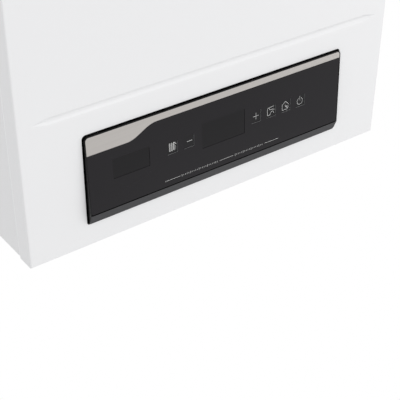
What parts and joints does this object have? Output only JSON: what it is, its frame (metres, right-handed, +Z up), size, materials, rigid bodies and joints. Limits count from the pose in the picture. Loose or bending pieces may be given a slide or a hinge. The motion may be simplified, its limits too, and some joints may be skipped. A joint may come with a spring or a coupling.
{
  "type": "wall-hung gas boiler",
  "caption": "Wall-hung gas combination boiler: white sheet-steel casing, lift-off front cover, dark sloping control panel with keys, and the sealed burner, fan and water circuits inside.",
  "frame": {"origin": "midpoint of the two wall screw holes, on the wall plane", "axes": "+Z up, -Y out of the wall towards the user, +X to the right of someone facing the front"},
  "size_m": [0.4, 0.3056, 0.7697],
  "materials": {
    "cover_white": "smooth white powder coat, satin",
    "side_white": "smooth white powder coat, satin",
    "galvanised": "galvanised sheet",
    "bezel_plastic": "fine matt moulding",
    "fascia_gloss": "high gloss",
    "trim_metal": "satin champagne",
    "lens_dark": "high gloss smoked",
    "key_gloss": "high gloss",
    "board_green": "solder mask",
    "box_grey": "matt moulding",
    "screw_steel": "zinc plated",
    "burner_steel": "stainless",
    "sight_glass": "clear",
    "fibre": "ceramic fibre board",
    "copper": "bright copper",
    "brass": "machined brass",
    "ceramic": "glazed ceramic",
    "motor_steel": "laminated stack",
    "switch_plastic": "matt moulding",
    "gasket_rubber": "soft",
    "collar_white": "white enamel",
    "vessel_red": "gloss enamel",
    "pump_iron": "cataphoretic coat",
    "impeller_plastic": "moulded",
    "pump_red": "satin enamel",
    "plates_steel": "brazed stainless",
    "gas_yellow": "enamel",
    "gas_alloy": "die cast",
    "knob_red": "moulded",
    "knob_black": "moulded"
  },
  "bodies": {
    "casing": {"wall_bracket": "galvanised", "back_frame": "galvanised", "side_left": "side_white", "side_right": "side_white", "top_plate": "galvanised", "bottom_tray": "galvanised", "fascia_bezel": "bezel_plastic", "fascia_plate": "fascia_gloss", "wave_trim": "trim_metal", "display_lens": "lens_dark", "status_lens": "lens_dark", "display_board": "board_green", "control_box": "box_grey", "control_lid": "box_grey", "main_board": "board_green", "sealed_chamber": "galvanised", "chamber_door": "galvanised", "panel_screws": "screw_steel", "sight_glass": "sight_glass", "combustion_box": "burner_steel", "fibre_boards": "fibre", "heat_exchanger": "copper", "burner_rack": "burner_steel", "gas_manifold": "brass", "electrodes": "ceramic", "flue_hood": "galvanised", "fan_housing": "galvanised", "fan_motor": "motor_steel", "air_switch": "switch_plastic", "collar_gasket": "gasket_rubber", "flue_collar": "collar_white", "expansion_vessel": "vessel_red", "vessel_pipe": "copper", "pump_housing": "pump_iron", "pump_motor": "pump_red", "air_vent": "brass", "plate_exchanger": "plates_steel", "flow_group": "brass", "diverter_motor": "switch_plastic", "return_group": "brass", "relief_valve": "brass", "flow_pipe": "copper", "return_pipe": "copper", "gas_line": "gas_yellow", "gas_valve": "gas_alloy", "pipe_stubs": "brass", "cable_gland": "knob_black"},
    "cover": {"front_cover": "cover_white", "cover_screws": "screw_steel"},
    "fan_rotor": {"fan_wheel": "galvanised"},
    "pump_rotor": {"pump_impeller": "impeller_plastic"},
    "diverter": {"diverter_spindle": "screw_steel"},
    "relief_handle": {"relief_knob": "knob_red"},
    "fill_handle": {"fill_knob": "knob_black"},
    "key_heating": {"key_heating": "key_gloss"},
    "key_minus": {"key_minus": "key_gloss"},
    "key_plus": {"key_plus": "key_gloss"},
    "key_water": {"key_water": "key_gloss"},
    "key_home": {"key_home": "key_gloss"},
    "key_power": {"key_power": "key_gloss"}
  },
  "joints": [
    {"name": "cover_swing", "type": "hinge", "parent": "casing", "child": "cover", "pos_m": [0, -0.2815, 0.0386], "axis": [-1, 0, 0], "range_deg": [0, 30]},
    {"name": "fan_spin", "type": "hinge", "parent": "casing", "child": "fan_rotor", "pos_m": [-0.042, -0.1965, -0.0304], "axis": [0, -1, 0], "continuous": true},
    {"name": "pump_spin", "type": "hinge", "parent": "casing", "child": "pump_rotor", "pos_m": [0.12, -0.123, -0.506], "axis": [0, -1, 0], "continuous": true},
    {"name": "diverter_lift", "type": "slide", "parent": "casing", "child": "diverter", "axis": [0, 0, 1], "range_m": [0, 0.006], "stiffness_N_per_m": 1500},
    {"name": "relief_turn", "type": "hinge", "parent": "casing", "child": "relief_handle", "pos_m": [0.148, -0.153, -0.619], "axis": [0, -1, 0], "range_deg": [0, 90]},
    {"name": "fill_turn", "type": "hinge", "parent": "casing", "child": "fill_handle", "pos_m": [0.0975, -0.14, -0.6596], "axis": [0, 0, -1], "range_deg": [0, 270]},
    {"name": "heating_press", "type": "slide", "parent": "casing", "child": "key_heating", "axis": [0, 0.9991, -0.0429], "range_m": [0, 0.0008], "stiffness_N_per_m": 2000},
    {"name": "minus_press", "type": "slide", "parent": "casing", "child": "key_minus", "axis": [0, 0.9991, -0.0429], "range_m": [0, 0.0008], "stiffness_N_per_m": 2000},
    {"name": "plus_press", "type": "slide", "parent": "casing", "child": "key_plus", "axis": [0, 0.9991, -0.0429], "range_m": [0, 0.0008], "stiffness_N_per_m": 2000},
    {"name": "water_press", "type": "slide", "parent": "casing", "child": "key_water", "axis": [0, 0.9991, -0.0429], "range_m": [0, 0.0008], "stiffness_N_per_m": 2000},
    {"name": "home_press", "type": "slide", "parent": "casing", "child": "key_home", "axis": [0, 0.9991, -0.0429], "range_m": [0, 0.0008], "stiffness_N_per_m": 2000},
    {"name": "power_press", "type": "slide", "parent": "casing", "child": "key_power", "axis": [0, 0.9991, -0.0429], "range_m": [0, 0.0008], "stiffness_N_per_m": 2000}
  ]
}
